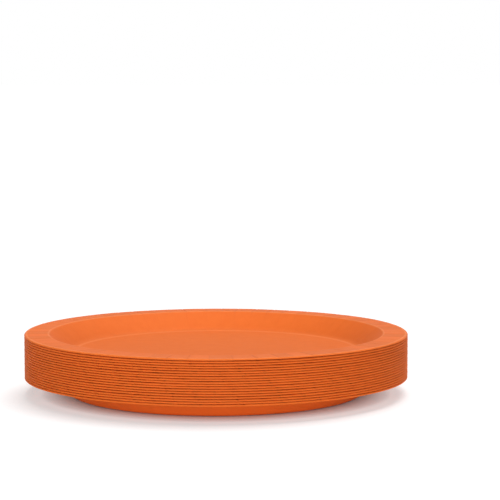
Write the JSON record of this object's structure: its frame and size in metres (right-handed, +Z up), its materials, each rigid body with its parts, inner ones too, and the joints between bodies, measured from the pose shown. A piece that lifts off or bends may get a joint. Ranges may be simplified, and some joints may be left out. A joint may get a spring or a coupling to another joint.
{
  "type": "stack of paper plates",
  "caption": "Neat stack of round pressed paper plates, nested one in the next, each with a flat pleated rim and a rolled edge.",
  "frame": {"origin": "centre of the bottom plate's underside, on the surface that the stack stands on", "axes": "+Z up along the stack's axis, out of the plates' hollows; X and Y lie in the floor"},
  "size_m": [0.228, 0.228, 0.0365],
  "materials": {
    "dyed_paperboard": "satin"
  },
  "bodies": {
    "root": {"plate_01": "dyed_paperboard", "plate_02": "dyed_paperboard", "plate_03": "dyed_paperboard", "plate_04": "dyed_paperboard", "plate_05": "dyed_paperboard", "plate_06": "dyed_paperboard", "plate_07": "dyed_paperboard", "plate_08": "dyed_paperboard", "plate_09": "dyed_paperboard", "plate_10": "dyed_paperboard", "plate_11": "dyed_paperboard", "plate_12": "dyed_paperboard", "plate_13": "dyed_paperboard", "plate_14": "dyed_paperboard", "plate_15": "dyed_paperboard", "plate_16": "dyed_paperboard", "plate_17": "dyed_paperboard", "plate_18": "dyed_paperboard", "plate_19": "dyed_paperboard"}
  },
  "joints": []
}
